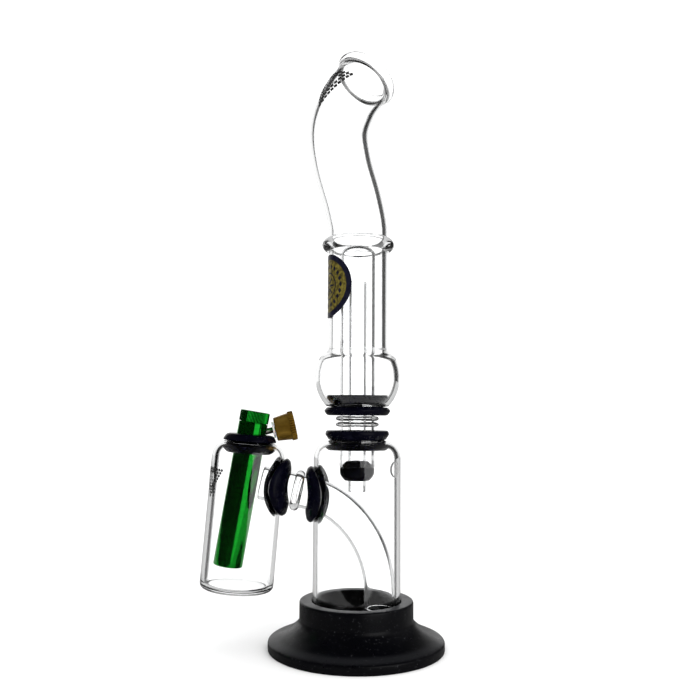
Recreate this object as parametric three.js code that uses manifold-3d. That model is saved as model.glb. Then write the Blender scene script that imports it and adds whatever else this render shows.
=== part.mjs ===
// A modular glass water pipe on a rubber base. A bottle chamber stands in the base; a percolator with an
// S-bend mouthpiece plugs into its top, and a pre-cooler bottle with a screw-on cone hangs on its side.
// Lengths are in millimetres. +X points to the mouth's side, +Y away from the front and +Z up.
// The origin is the centre of the underside of the rubber base.
import * as THREE from "three";
import { mergeVertices } from "three/addons/utils/BufferGeometryUtils.js";
import Module from "manifold-3d";

// Faces round a full turn
const BASE_SIDES = 36;
const GLASS_SIDES = 24;
const RUBBER_SIDES = 20;
const TUBE_SIDES = 18;
const SMALL_SIDES = 12;

const GAP = 0.3; // room between two pieces that touch
const WALL = 2.2; // glass wall of the chamber, percolator and pre-cooler

// Rubber base
const BASE_RADIUS = 51.5;
const BASE_RIM_HEIGHT = 5;
const COLLAR_RADIUS = 33.4;
const COLLAR_FOOT = 15.5;
const COLLAR_TOP = 27.6;
const SOCKET_FLOOR = 14;

// Main chamber
const CHAMBER_RADIUS = 25.8;
const CHAMBER_BOTTOM = SOCKET_FLOOR + GAP;
const CHAMBER_SHOULDER = 109.5;
const CHAMBER_TOP = 120.5;
const NECK_HOLE = 16;
const CARB_RADIUS = 4.5;
const CARB_HEIGHT = 104.2;
const CARB_AZIMUTH = THREE.MathUtils.degToRad(60.6); // from the front towards the mouth's side

// Holes for the side arm, and the saddle grommets in them
const PORT_HOLE = 13.3;
const PORT_HUB = 13;
const CHAMBER_PORT_HEIGHT = 88.6;
const GROOVE = WALL / 2 + GAP;

// Pre-cooler bottle, in its own frame: it leans towards the chamber
const CATCHER_RADIUS = 21.5;
const CATCHER_LEAN = THREE.MathUtils.degToRad(4.4);
const CATCHER_FOOT = new THREE.Vector3(-70.6, 0, 33.5);
const CATCHER_SHOULDER = 76;
const CATCHER_TOP = 86;
const CATCHER_NECK_HOLE = 12.8;
const CATCHER_PORT_HEIGHT = 61.1;

// Curved downstem
const DOWNSTEM_RADIUS = 9.8;
const DOWNSTEM_BORE = 8.3;
const DOWNSTEM_TAPER = 0.8; // by which the radius shrinks from the bend's start to the tip
const DOWNSTEM_BEAD = 12;
const DOWNSTEM_INLET_X = -57;
const DOWNSTEM_BEAD_X = -35.3;
const DOWNSTEM_BEND_X = -29.5;
const DOWNSTEM_TIP = new THREE.Vector3(13.8, 0, 22.5);

// Metal stem, cap and cone
const STEM_RADIUS = 8.7;
const STEM_BORE = 7.2;
const STEM_LEAN = THREE.MathUtils.degToRad(9.5);
const STEM_BELOW = 72; // from the neck of the pre-cooler down to the open end
const STEM_ABOVE = 12.6; // from the neck up to the joint with the cap
const SPIGOT_RADIUS = 7.7;
const CAP_HEIGHT = 6.6;
const CAP_RIBS = 24;
const CAP_RIB_DEPTH = 0.25;
const CONE_RISE = THREE.MathUtils.degToRad(13);
const CONE_TURN = THREE.MathUtils.degToRad(7);
const CONE_ROOT = 5.2; // height of the nipple's axis above the neck, on the stem's axis
const NIPPLE_RADIUS = 2;
const NIPPLE_BORE = 1.2;
const CONE_START = 14.6; // from the stem's axis to the cone's narrow end
const CONE_LENGTH = 12;
const CONE_NARROW = 7;
const CONE_WIDE = 8.1;
const CONE_RIM = 8.8;

// Spine: dome tube, riser and plug
const SPINE_RADIUS = 10.5;
const SPINE_BORE = 9.1;
const SPINE_FOOT = 104.6;
const SPINE_TOP = 238.3;
const DOME_HEIGHT = 6.5;
const SPINE_BEADS = [129.9, 133.4];
const SLIT_HEIGHT = 176;
const RISER_RADIUS = 5.4;
const RISER_BORE = 4;
const RISER_FOOT = 90.2;
const RISER_TOP = 215.5;
const PLUG_TOP = 108.2;
const PLUG_FOOT = 96.8;

// Percolator and S-bend mouthpiece, one piece of glass
const BULB_CENTRE = 158.2;
const BULB_RADIUS = 25.5;
const BULB_NECK = 175.2; // where the bulb's shoulder meets the cylinder
const BULB_FOOT = 140.3;
const PERC_RADIUS = 17.7;
const PERC_RING_HEIGHT = 238.2;
const PERC_RING = [4.1, 4]; // how far the ring bead stands out, and half its height
const BEND_START = 243;
const BEND_PLANE = THREE.MathUtils.degToRad(28); // the S lies in an upright plane turned from +X towards +Y
const LIP_RADIUS = 17.1;
const LIP_THICKNESS = 2.8;

// Round label on the percolator
const LABEL_RADIUS = 19.1;
const LABEL_HEIGHT = 212.1;
const LABEL_AZIMUTH = THREE.MathUtils.degToRad(-73.3);
const LABEL_THICKNESS = 0.4;
const LABEL_GAP = 0.2;
const LABEL_SIDES = 28;

const wasm = await Module();
wasm.setup();

const UP = new THREE.Vector3(0, 0, 1);
const ROUNDING = 1e-3; // vertices closer than this are the same

// ---------------------------------------------------------------- solids and meshes

// A closed geometry as a manifold-3d solid, facing out.
function solid(geometry) {
  const bare = new THREE.BufferGeometry();
  bare.setAttribute("position", geometry.getAttribute("position"));
  bare.setIndex(geometry.index);
  const merged = mergeVertices(bare, ROUNDING);
  const corners = merged.index.array;
  const kept = [];
  for (let i = 0; i < corners.length; i += 3) {
    const [a, b, c] = corners.slice(i, i + 3);
    if (a !== b && b !== c && c !== a) kept.push(a, b, c);
  }
  const vertProperties = merged.attributes.position.array;
  const build = (triVerts) => new wasm.Manifold(new wasm.Mesh({ numProp: 3, vertProperties, triVerts }));
  const made = build(new Uint32Array(kept));
  return made.volume() > 0 ? made : build(new Uint32Array(kept.reverse()));
}

// A manifold-3d solid as a named mesh with its material.
function meshOf(name, made, material) {
  const { vertProperties, triVerts } = made.getMesh();
  const geometry = new THREE.BufferGeometry();
  geometry.setAttribute("position", new THREE.BufferAttribute(new Float32Array(vertProperties), 3));
  geometry.setIndex(new THREE.BufferAttribute(new Uint32Array(triVerts), 1));
  geometry.computeVertexNormals();
  const mesh = new THREE.Mesh(geometry, material);
  mesh.name = name;
  return mesh;
}

// A profile of [radius, height] points turned about the Z axis.
function turned(profile, sides) {
  const points = profile.map(([radius, height]) => new THREE.Vector2(radius, height));
  return new THREE.LatheGeometry(points, sides).rotateX(Math.PI / 2);
}

// The same for a ring, whose profile closes on itself.
function turnedRing(profile, sides) {
  return turned([...profile, profile[0]], sides);
}

// Points on an ellipse about [radius, height], from one angle to another in degrees above the horizontal.
function arc(radius, height, across, up, from, to, steps) {
  const points = [];
  for (let i = 0; i <= steps; i++) {
    const angle = THREE.MathUtils.degToRad(from + ((to - from) * i) / steps);
    points.push([radius + across * Math.cos(angle), height + up * Math.sin(angle)]);
  }
  return points;
}

// A straight round bar from one point to another.
function bar(from, to, radius, sides = RUBBER_SIDES) {
  const along = new THREE.Vector3().subVectors(to, from);
  const geometry = new THREE.CylinderGeometry(radius, radius, along.length(), sides).rotateX(Math.PI / 2);
  return place(geometry, from.clone().addScaledVector(along, 0.5), along.clone().normalize());
}

// Moves a geometry made about the Z axis to a point, with its axis along a direction.
function place(geometry, origin, direction) {
  const turn = new THREE.Quaternion().setFromUnitVectors(UP, direction);
  return geometry.applyQuaternion(turn).translate(origin.x, origin.y, origin.z);
}

// Moves every vertex of a geometry by a function of its position.
function reshape(geometry, move) {
  const positions = geometry.getAttribute("position");
  const point = new THREE.Vector3();
  for (let i = 0; i < positions.count; i++) {
    move(point.fromBufferAttribute(positions, i));
    positions.setXYZ(i, point.x, point.y, point.z);
  }
  return geometry;
}

// Bends a piece made about the Z axis: a height above start becomes a distance along the curve, which lies in
// an upright plane. What is lower stays as it was made, and past the curve's end the piece goes straight on.
function bend(geometry, curve, start, planeAngle = 0) {
  const length = curve.getLength();
  const across = new THREE.Vector3(Math.cos(planeAngle), Math.sin(planeAngle), 0);
  const aside = new THREE.Vector3(-Math.sin(planeAngle), Math.cos(planeAngle), 0);
  return reshape(geometry, (point) => {
    if (point.z < start - ROUNDING) return;
    const distance = Math.max(point.z - start, 0);
    const share = Math.min(distance / length, 1);
    const tangent = curve.getTangentAt(share);
    const side = new THREE.Vector3().crossVectors(aside, tangent).normalize();
    const inPlane = point.dot(across);
    const outOfPlane = point.dot(aside);
    point.copy(curve.getPointAt(share));
    point.addScaledVector(tangent, Math.max(distance - length, 0));
    point.addScaledVector(side, inPlane);
    point.addScaledVector(aside, outOfPlane);
  });
}

// ---------------------------------------------------------------- places and directions

const catcherAxis = new THREE.Vector3(Math.sin(CATCHER_LEAN), 0, Math.cos(CATCHER_LEAN));
const catcherSide = new THREE.Vector3(Math.cos(CATCHER_LEAN), 0, -Math.sin(CATCHER_LEAN));

// A point of the pre-cooler's own frame in the whole object's frame.
function inCatcher(across, height) {
  return CATCHER_FOOT.clone().addScaledVector(catcherSide, across).addScaledVector(catcherAxis, height);
}

const chamberPort = new THREE.Vector3(WALL / 2 - CHAMBER_RADIUS, 0, CHAMBER_PORT_HEIGHT);
const catcherPort = inCatcher(CATCHER_RADIUS - WALL / 2, CATCHER_PORT_HEIGHT);
const armAxis = new THREE.Vector3().subVectors(chamberPort, catcherPort).normalize();

// The point of the side arm's axis at a given X.
function onArm(x) {
  return chamberPort.clone().addScaledVector(armAxis, (x - chamberPort.x) / armAxis.x);
}

const stemNeck = inCatcher(0, CATCHER_TOP - WALL / 2);
const stemAxis = new THREE.Vector3(Math.sin(STEM_LEAN), 0, Math.cos(STEM_LEAN));

function onStem(height) {
  return stemNeck.clone().addScaledVector(stemAxis, height);
}

const coneAxis = new THREE.Vector3(
  Math.cos(CONE_RISE) * Math.cos(CONE_TURN),
  Math.cos(CONE_RISE) * Math.sin(CONE_TURN),
  Math.sin(CONE_RISE),
);

function onCone(distance) {
  return onStem(CONE_ROOT).addScaledVector(coneAxis, distance);
}

// ---------------------------------------------------------------- materials

function material(color, roughness, metalness, opacity = 1) {
  return new THREE.MeshStandardMaterial({ color, roughness, metalness, opacity, transparent: opacity < 1 });
}

const glass = material(0xf2f6f7, 0.03, 0, 0.3);
const rubber = material(0x0b0b0d, 0.75, 0);
const greenAnodised = material(0x06571f, 0.22, 0.9);
const brass = material(0xa8862c, 0.32, 1);
const nickel = material(0xd8d6cf, 0.18, 1);
const silicone = material(0xe6e2d6, 0.6, 0);
const paperLabel = material(0x8c8438, 0.5, 0.2);

// ---------------------------------------------------------------- rubber base

function rubberBase() {
  const profile = [
    [0, 0],
    [BASE_RADIUS - 1, 0],
    [BASE_RADIUS, 0.8],
    [BASE_RADIUS, BASE_RIM_HEIGHT - 0.8],
    [BASE_RADIUS - 1.2, BASE_RIM_HEIGHT],
    [BASE_RADIUS - 7.5, 8],
    [BASE_RADIUS - 13, 11.2],
    [COLLAR_RADIUS + 0.8, COLLAR_FOOT - 0.6],
    [COLLAR_RADIUS, COLLAR_FOOT + 0.6],
    [COLLAR_RADIUS, COLLAR_TOP - 1.2],
    [COLLAR_RADIUS - 1.2, COLLAR_TOP],
    [CHAMBER_RADIUS + GAP + 1.2, COLLAR_TOP],
    [CHAMBER_RADIUS + GAP, COLLAR_TOP - 1.2],
    [CHAMBER_RADIUS + GAP, SOCKET_FLOOR],
    [0, SOCKET_FLOOR],
  ];
  return meshOf("rubber_base", solid(turned(profile, BASE_SIDES)), rubber);
}

// ---------------------------------------------------------------- main chamber

function chamberProfile() {
  const inner = CHAMBER_RADIUS - WALL;
  const floor = CHAMBER_BOTTOM + WALL;
  const rise = CHAMBER_TOP - CHAMBER_SHOULDER;
  const reach = CHAMBER_RADIUS - NECK_HOLE - 0.5;
  return [
    [0, CHAMBER_BOTTOM],
    [CHAMBER_RADIUS - 3.6, CHAMBER_BOTTOM],
    ...arc(CHAMBER_RADIUS - 3.6, CHAMBER_BOTTOM + 3.6, 3.6, 3.6, -60, 0, 2),
    ...arc(NECK_HOLE + 0.5, CHAMBER_SHOULDER, reach, rise, 0, 90, 6),
    [NECK_HOLE, CHAMBER_TOP - 0.6],
    [NECK_HOLE, CHAMBER_TOP - WALL + 0.3],
    ...arc(NECK_HOLE + 0.5, CHAMBER_SHOULDER, reach - WALL, rise - WALL, 90, 0, 5),
    [inner, floor + 2.6],
    [inner - 0.9, floor + 0.7],
    [inner - 3, floor],
    [0, floor],
  ];
}

function mainChamber() {
  const portAcross = new THREE.Vector3(-CHAMBER_RADIUS - 5, 0, CHAMBER_PORT_HEIGHT);
  const portInside = new THREE.Vector3(-CHAMBER_RADIUS / 2, 0, CHAMBER_PORT_HEIGHT);
  const carb = new THREE.Vector3(Math.sin(CARB_AZIMUTH), -Math.cos(CARB_AZIMUTH), 0);
  const carbInside = carb.clone().multiplyScalar(CHAMBER_RADIUS * 0.7).setZ(CARB_HEIGHT);
  const carbOutside = carb.clone().multiplyScalar(CHAMBER_RADIUS * 1.2).setZ(CARB_HEIGHT);
  const made = solid(turned(chamberProfile(), GLASS_SIDES))
    .subtract(solid(bar(portInside, portAcross, PORT_HOLE)))
    .subtract(solid(bar(carbInside, carbOutside, CARB_RADIUS, SMALL_SIDES)));
  return meshOf("main_chamber", made, glass);
}

// ---------------------------------------------------------------- grommets

// A grommet with flat flanges, made about the Z axis with its groove at height 0. Each flange is
// [radius, thickness]; the upper one comes first.
function neckGrommet(bore, hub, groove, [upperRadius, upperThickness], [lowerRadius, lowerThickness]) {
  const top = groove + upperThickness;
  const foot = -groove - lowerThickness;
  return turnedRing(
    [
      [bore, foot],
      [lowerRadius - 1.9, foot],
      [lowerRadius - 0.2, foot + lowerThickness * 0.45],
      [lowerRadius, foot + lowerThickness * 0.7],
      [lowerRadius - 0.9, -groove],
      [hub, -groove],
      [hub, groove],
      [upperRadius - 0.8, groove],
      [upperRadius, groove + upperThickness * 0.35],
      [upperRadius - 0.1, groove + upperThickness * 0.65],
      [upperRadius - 1, top],
      [bore, top],
    ],
    RUBBER_SIDES,
  );
}

// The grommet in the main chamber's neck, which grips the spine tube.
function mainTopGrommet() {
  const geometry = neckGrommet(SPINE_RADIUS + 0.35, NECK_HOLE - 0.4, GROOVE, [19.1, 5.5], [18.9, 3.3]);
  geometry.translate(0, 0, CHAMBER_TOP - WALL / 2);
  return meshOf("main_top_grommet", solid(geometry), rubber);
}

// The grommet in the percolator's foot, which turns on the spine tube.
function percolatorGrommet() {
  const geometry = neckGrommet(SPINE_RADIUS + 0.35, NECK_HOLE - 0.4, GROOVE, [18.6, 4.6], [19.9, 4.8]);
  // The upper flange is tapered to clear the round of the bulb.
  const lip = BULB_FOOT + WALL / 2;
  reshape(geometry, (point) => {
    const radius = Math.hypot(point.x, point.y);
    const room = 16.7 + (point.z - GROOVE) * 0.75;
    if (point.z < GROOVE - 0.01 || radius <= room) return;
    point.x *= room / radius;
    point.y *= room / radius;
  });
  geometry.translate(0, 0, lip);
  return meshOf("percolator_grommet", solid(geometry), rubber);
}

// The grommet in the pre-cooler's neck. Its bore leans more than the bottle, and its upper flange is thin at
// the rim, below the cone.
function catcherTopGrommet() {
  const top = GROOVE + 4.2;
  const foot = -GROOVE - 4.4;
  const profile = [
    [0, foot],
    [12.2, foot],
    [14.4, foot + 1.2],
    [15.6, foot + 3],
    [14.8, -GROOVE],
    [CATCHER_NECK_HOLE - 0.4, -GROOVE],
    [CATCHER_NECK_HOLE - 0.4, GROOVE],
    [15.2, GROOVE],
    [15.9, GROOVE + 0.6],
    [14.7, top - 1.4],
    [12.4, top],
    [0, top],
  ];
  const body = solid(place(turned(profile, RUBBER_SIDES), stemNeck, catcherAxis));
  const bore = solid(bar(onStem(-12), onStem(12), STEM_RADIUS + GAP));
  return meshOf("catcher_top_grommet", body.subtract(bore), rubber);
}

// A grommet for a hole in the side of a round wall. It is made flat, about the Z axis with +Z out of the wall,
// and then wrapped round the wall, whose middle has the given radius about an axis along X.
function saddleGrommet(wallRadius, outerRadius, innerRadius) {
  const profile = [
    [0, -5.4],
    [11, -5.4],
    [innerRadius - 2.6, -4.2],
    [innerRadius - 0.4, -2.9],
    [innerRadius, -2.1],
    [innerRadius - 0.6, -GROOVE],
    [PORT_HUB, -GROOVE],
    [PORT_HUB, GROOVE],
    [outerRadius - 0.6, GROOVE],
    [outerRadius, 2.3],
    [outerRadius - 0.4, 3.4],
    [outerRadius - 2.2, 4.9],
    [11, 5.8],
    [0, 5.8],
  ];
  const rings = [];
  for (let i = 1; i < profile.length; i++) {
    rings.push(profile[i - 1]);
    const [from, to] = [profile[i - 1], profile[i]];
    const long = Math.hypot(to[0] - from[0], to[1] - from[1]) > 4.5;
    if (long) rings.push([(from[0] + to[0]) / 2, (from[1] + to[1]) / 2]);
  }
  rings.push(profile.at(-1));
  return reshape(turned(rings, RUBBER_SIDES), (point) => {
    const angle = point.y / wallRadius;
    const radius = wallRadius + point.z;
    point.y = radius * Math.sin(angle);
    point.z = radius * Math.cos(angle) - wallRadius;
  });
}

// Places a saddle grommet with +Z out of the wall and its curved direction along Y, and bores it for the
// downstem, whose bend starts inside the chamber's grommet.
function sideGrommet(name, geometry, port, outward) {
  const along = new THREE.Vector3(0, 1, 0);
  const lengthways = new THREE.Vector3().crossVectors(along, outward);
  const frame = new THREE.Matrix4().makeBasis(lengthways, along, outward).setPosition(port);
  const radius = DOWNSTEM_RADIUS + 0.35;
  const stations = Array.from({ length: 15 }, (_, i) => i * 4);
  const core = [[0, 0], ...stations.map((distance) => [radius, distance]), [0, 56]];
  const bore = solid(bend(turned(core, RUBBER_SIDES), downstemCurve(), 0));
  return meshOf(name, solid(geometry.applyMatrix4(frame)).subtract(bore), rubber);
}

function mainSideGrommet() {
  const geometry = saddleGrommet(CHAMBER_RADIUS - WALL / 2, 16.6, 17.4);
  return sideGrommet("main_side_grommet", geometry, chamberPort, new THREE.Vector3(-1, 0, 0));
}

function catcherSideGrommet() {
  const geometry = saddleGrommet(CATCHER_RADIUS - WALL / 2, 17, 17.8);
  return sideGrommet("catcher_side_grommet", geometry, catcherPort, catcherSide);
}

// ---------------------------------------------------------------- curved downstem

// The downstem's middle line: straight along the arm, round a quarter bend and straight down.
function downstemCurve() {
  const inlet = onArm(DOWNSTEM_INLET_X);
  const bendStart = onArm(DOWNSTEM_BEND_X);
  const bendEnd = DOWNSTEM_TIP.clone().setZ(DOWNSTEM_TIP.z + 8);
  const curve = new THREE.CurvePath();
  curve.add(new THREE.LineCurve3(inlet, bendStart));
  curve.add(
    new THREE.CubicBezierCurve3(
      bendStart,
      bendStart.clone().addScaledVector(armAxis, 24),
      bendEnd.clone().setZ(bendEnd.z + 30),
      bendEnd,
    ),
  );
  curve.add(new THREE.LineCurve3(bendEnd, DOWNSTEM_TIP));
  return curve;
}

function downstem() {
  const curve = downstemCurve();
  const length = curve.getLength();
  const bead = onArm(DOWNSTEM_BEAD_X).distanceTo(onArm(DOWNSTEM_INLET_X));
  const bendStart = onArm(DOWNSTEM_BEND_X).distanceTo(onArm(DOWNSTEM_INLET_X));
  const bendSteps = 11;
  const step = (length - bendStart) / bendSteps;
  const stations = Array.from({ length: bendSteps }, (_, i) => bendStart + step * i);
  const taper = (distance) => (DOWNSTEM_TAPER * (distance - bendStart)) / (length - bendStart);
  const tip = DOWNSTEM_RADIUS - DOWNSTEM_TAPER;
  const tipBore = DOWNSTEM_BORE - DOWNSTEM_TAPER;
  const profile = [
    [DOWNSTEM_RADIUS - 0.7, 0],
    [DOWNSTEM_RADIUS + 0.1, 0.8],
    [DOWNSTEM_RADIUS, 2],
    ...arc(DOWNSTEM_RADIUS, bead, DOWNSTEM_BEAD - DOWNSTEM_RADIUS, 2.6, -90, 90, 5),
    ...stations.map((distance) => [DOWNSTEM_RADIUS - taper(distance), distance]),
    [tip - 0.1, length - 0.8],
    [(tip + tipBore) / 2, length],
    [tipBore + 0.1, length - 0.8],
    ...stations.reverse().map((distance) => [DOWNSTEM_BORE - taper(distance), distance]),
    [DOWNSTEM_BORE, 2],
    [DOWNSTEM_BORE + 0.1, 0.8],
  ];
  return meshOf("curved_downstem", solid(bend(turnedRing(profile, TUBE_SIDES), curve, 0)), glass);
}

// ---------------------------------------------------------------- pre-cooler bottle

function catcherBottle() {
  const inner = CATCHER_RADIUS - WALL;
  const middle = CATCHER_NECK_HOLE + 1.2;
  const rise = CATCHER_TOP - CATCHER_SHOULDER;
  const reach = CATCHER_RADIUS - middle;
  const profile = [
    [0, 0],
    [CATCHER_RADIUS - 3, 0],
    ...arc(CATCHER_RADIUS - 3, 3, 3, 3, -60, 0, 2),
    ...arc(middle, CATCHER_SHOULDER, reach, rise, 0, 90, 6),
    [CATCHER_NECK_HOLE, CATCHER_TOP - 0.6],
    [CATCHER_NECK_HOLE, CATCHER_TOP - WALL + 0.6],
    ...arc(middle, CATCHER_SHOULDER, reach - WALL, rise - WALL, 90, 0, 5),
    [inner, WALL + 2.4],
    [inner - 0.9, WALL + 0.7],
    [inner - 2.8, WALL],
    [0, WALL],
  ];
  const port = solid(
    bar(inCatcher(CATCHER_RADIUS / 2, CATCHER_PORT_HEIGHT), inCatcher(30, CATCHER_PORT_HEIGHT), PORT_HOLE),
  );
  const body = solid(place(turned(profile, GLASS_SIDES), CATCHER_FOOT, catcherAxis));
  return meshOf("catcher_bottle", body.subtract(port), glass);
}

// ---------------------------------------------------------------- metal stem, cap and cone

// The tube has a hole in its side for the nipple and a thinner spigot on top, on which the cap screws.
function stemTube() {
  const profile = [
    [STEM_BORE, -STEM_BELOW],
    [STEM_RADIUS - 0.4, -STEM_BELOW],
    [STEM_RADIUS, -STEM_BELOW + 0.6],
    [STEM_RADIUS, STEM_ABOVE],
    [SPIGOT_RADIUS, STEM_ABOVE],
    [SPIGOT_RADIUS, STEM_ABOVE + 4],
    [STEM_BORE, STEM_ABOVE + 4],
  ];
  const tube = solid(place(turnedRing(profile, RUBBER_SIDES), stemNeck, stemAxis));
  const hole = solid(bar(onCone(4), onCone(STEM_RADIUS + 4), NIPPLE_RADIUS + GAP, SMALL_SIDES));
  return meshOf("stem_tube", tube.subtract(hole), greenAnodised);
}

// The knurled cap: a cup over the spigot, with ribs round its edge and a small chamfer on top.
function stemCap() {
  const floor = STEM_ABOVE + GAP;
  const inside = SPIGOT_RADIUS + GAP;
  const pocket = inside + 0.35;
  const profile = [
    [pocket, floor],
    [STEM_RADIUS + 0.1, floor],
    [STEM_RADIUS + 0.1, floor + CAP_HEIGHT - 0.7],
    [STEM_RADIUS - 0.7, floor + CAP_HEIGHT],
    [0, floor + CAP_HEIGHT],
    [0, floor + 4.6],
    [inside, floor + 4.6],
    [inside, floor + 1.4],
    [pocket, floor + 1.4],
  ];
  const geometry = turned([...profile, profile[0]], CAP_RIBS * 2);
  reshape(geometry, (point) => {
    const radius = Math.hypot(point.x, point.y);
    const step = Math.round((Math.atan2(point.y, point.x) * CAP_RIBS) / Math.PI);
    if (radius < STEM_RADIUS + 0.05 || step % 2 === 0) return;
    point.x *= 1 - CAP_RIB_DEPTH / radius;
    point.y *= 1 - CAP_RIB_DEPTH / radius;
  });
  return meshOf("stem_cap", solid(place(geometry, stemNeck, stemAxis)), greenAnodised);
}

// The seal between the tube's shoulder and the cap, round the spigot's foot.
function capSeal() {
  const ring = arc(SPIGOT_RADIUS + 0.31, STEM_ABOVE + GAP + 0.62, 0.24, 0.5, 0, 300, 5);
  return meshOf("cap_seal", solid(place(turnedRing(ring, RUBBER_SIDES), stemNeck, stemAxis)), rubber);
}

// The threaded nipple stands out of the stem's side and carries the cone.
function coneNipple() {
  const profile = [
    [NIPPLE_BORE, 6],
    [NIPPLE_RADIUS, 6],
    [NIPPLE_RADIUS, CONE_START + 4],
    [NIPPLE_RADIUS - 0.4, CONE_START + 4.5],
    [NIPPLE_BORE, CONE_START + 4.5],
  ];
  const geometry = place(turnedRing(profile, SMALL_SIDES), onStem(CONE_ROOT), coneAxis);
  return meshOf("cone_nipple", solid(geometry), nickel);
}

// A pale washer closes the joint between the nipple and the cone.
function coneWasher() {
  const thickness = 1.2;
  const inside = NIPPLE_RADIUS + GAP;
  const profile = [
    [inside, CONE_START - GAP - thickness],
    [CONE_NARROW - 2.5, CONE_START - GAP - thickness],
    [CONE_NARROW - 2.1, CONE_START - GAP - thickness / 2],
    [CONE_NARROW - 2.5, CONE_START - GAP],
    [inside, CONE_START - GAP],
  ];
  const geometry = place(turnedRing(profile, SMALL_SIDES), onStem(CONE_ROOT), coneAxis);
  return meshOf("cone_washer", solid(geometry), silicone);
}

// The brass cone: a tapering cup with a ribbed rim and a threaded hole in its floor.
function brassCone() {
  const end = CONE_START + CONE_LENGTH;
  const rim = end - 3.2;
  const hole = NIPPLE_RADIUS + GAP;
  const ribs = 16;
  const profile = [
    [hole, CONE_START],
    [CONE_NARROW - 0.4, CONE_START],
    [CONE_NARROW, CONE_START + 0.5],
    [CONE_WIDE, rim],
    [CONE_RIM, rim + 0.2],
    [CONE_RIM, end - 0.4],
    [CONE_RIM - 0.5, end],
    [CONE_RIM - 1.5, end],
    [CONE_RIM - 1.9, end - 0.5],
    [CONE_NARROW - 1, CONE_START + 6.2],
    [hole + 0.6, CONE_START + 4.6],
    [hole, CONE_START + 4.4],
  ];
  const geometry = turnedRing(profile, ribs * 2);
  reshape(geometry, (point) => {
    const radius = Math.hypot(point.x, point.y);
    const step = Math.round((Math.atan2(point.y, point.x) * ribs) / Math.PI);
    if (radius < CONE_RIM - 0.1 || step % 2 === 0) return;
    point.x *= 1 - 0.4 / radius;
    point.y *= 1 - 0.4 / radius;
  });
  return meshOf("brass_cone", solid(place(geometry, onStem(CONE_ROOT), coneAxis)), brass);
}

// ---------------------------------------------------------------- spine

// The dome tube: open at its foot, closed by a low dome, with two ring beads and two slits.
function spineTube() {
  const shoulder = SPINE_TOP - DOME_HEIGHT;
  const beads = SPINE_BEADS.flatMap((height) => arc(SPINE_RADIUS, height, 2.4, 1.4, -90, 90, 5));
  const profile = [
    [SPINE_BORE, SPINE_FOOT],
    [SPINE_RADIUS - 0.4, SPINE_FOOT],
    [SPINE_RADIUS, SPINE_FOOT + 0.5],
    ...beads,
    [SPINE_RADIUS, BULB_CENTRE],
    ...arc(0, shoulder, SPINE_RADIUS, DOME_HEIGHT, 0, 90, 5),
    ...arc(0, shoulder, SPINE_BORE, DOME_HEIGHT - 1.4, 90, 0, 4),
    [SPINE_BORE, BULB_CENTRE],
  ];
  const slit = new THREE.BoxGeometry(SPINE_RADIUS * 3, 1.6, 9).translate(0, 0, SLIT_HEIGHT);
  const body = solid(turnedRing(profile, TUBE_SIDES)).subtract(solid(slit));
  return meshOf("spine_tube", body, glass);
}

function riserTube() {
  const profile = [
    [RISER_BORE, RISER_FOOT],
    [RISER_RADIUS - 0.3, RISER_FOOT],
    [RISER_RADIUS, RISER_FOOT + 0.5],
    [RISER_RADIUS, RISER_TOP - 0.5],
    [RISER_RADIUS - 0.3, RISER_TOP],
    [RISER_BORE, RISER_TOP],
  ];
  return meshOf("riser_tube", solid(turnedRing(profile, SMALL_SIDES)), glass);
}

// The plug closes the dome tube's foot and holds the riser.
function spinePlug() {
  const inside = SPINE_BORE - GAP;
  const hole = RISER_RADIUS + GAP;
  const seat = SPINE_FOOT - GAP;
  const profile = [
    [hole, PLUG_FOOT],
    [6.6, PLUG_FOOT],
    [8.4, PLUG_FOOT + 0.9],
    [9.8, PLUG_FOOT + 3.2],
    [10.3, PLUG_FOOT + 6],
    [10.3, seat],
    [inside, seat],
    [inside, PLUG_TOP - 2.4],
    [inside - 1.3, PLUG_TOP - 0.7],
    [inside - 2.9, PLUG_TOP],
    [hole, PLUG_TOP],
  ];
  return meshOf("spine_plug", solid(turnedRing(profile, TUBE_SIDES)), rubber);
}

// ---------------------------------------------------------------- percolator and S-bend mouthpiece

// The middle line of the S, in its upright plane: [across, height].
function sBendCurve() {
  const points = [
    [0, BEND_START],
    [-0.2, 249],
    [-4, 265],
    [-11.2, 287],
    [-13.7, 306],
    [-8, 324],
    [0.2, 337],
    [4.8, 343.4],
  ];
  const inPlane = ([across, height]) =>
    new THREE.Vector3(across * Math.cos(BEND_PLANE), across * Math.sin(BEND_PLANE), height);
  return new THREE.CatmullRomCurve3(points.map(inPlane), false, "centripetal");
}

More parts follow.
